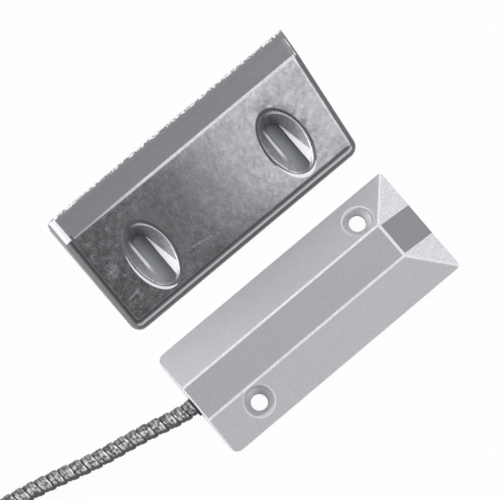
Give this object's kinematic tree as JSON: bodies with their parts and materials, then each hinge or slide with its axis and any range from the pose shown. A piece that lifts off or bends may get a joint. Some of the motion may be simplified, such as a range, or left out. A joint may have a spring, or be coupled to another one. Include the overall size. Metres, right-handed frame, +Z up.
{
  "type": "overhead door magnetic contact",
  "caption": "Surface-mount overhead door contact: a low hip-ended reed switch unit on a coiled armoured hose, and a sloping magnet unit with oval countersunk slots.",
  "frame": {"origin": "on the mounting surface, under the middle of the two housings as they stand beside each other", "axes": "+X along both units, towards the hip end of the switch unit and away from its hose; +Y from the switch unit towards the magnet unit; +Z up, out of the mounting surface"},
  "size_m": [0.2392, 0.1067, 0.015],
  "materials": {
    "switch_cast": "satin",
    "magnet_cast": "polished",
    "dark_plastic": "matte",
    "resin": "matte",
    "tube_plastic": "matte",
    "clear_glass": "gloss",
    "contact_metal": "polished",
    "lead_white": "satin",
    "lead_black": "satin",
    "lead_copper": "satin",
    "hose_steel": "gloss",
    "collar_steel": "satin",
    "grommet_rubber": "matte",
    "ferrite": "matte"
  },
  "bodies": {
    "root": {"switch_housing": "switch_cast", "end_window": "dark_plastic", "reed_tube": "tube_plastic", "reed_capsule": "clear_glass", "reed_blade_a": "contact_metal", "reed_blade_b": "contact_metal", "lead_sleeve_a": "resin", "lead_sleeve_b": "resin", "inner_lead_a": "lead_white", "inner_lead_b": "lead_black", "hose_collar": "collar_steel", "switch_potting": "resin", "armoured_hose": "hose_steel", "armoured_hose_coil": "hose_steel", "hose_end_ferrule": "collar_steel", "end_grommet": "grommet_rubber", "lead_tail_a": "lead_white", "lead_core_a": "lead_copper", "lead_tail_b": "lead_black", "lead_core_b": "lead_copper", "magnet_housing": "magnet_cast", "magnet_bar_a": "ferrite", "magnet_bar_b": "ferrite", "magnet_potting": "resin"}
  },
  "joints": []
}
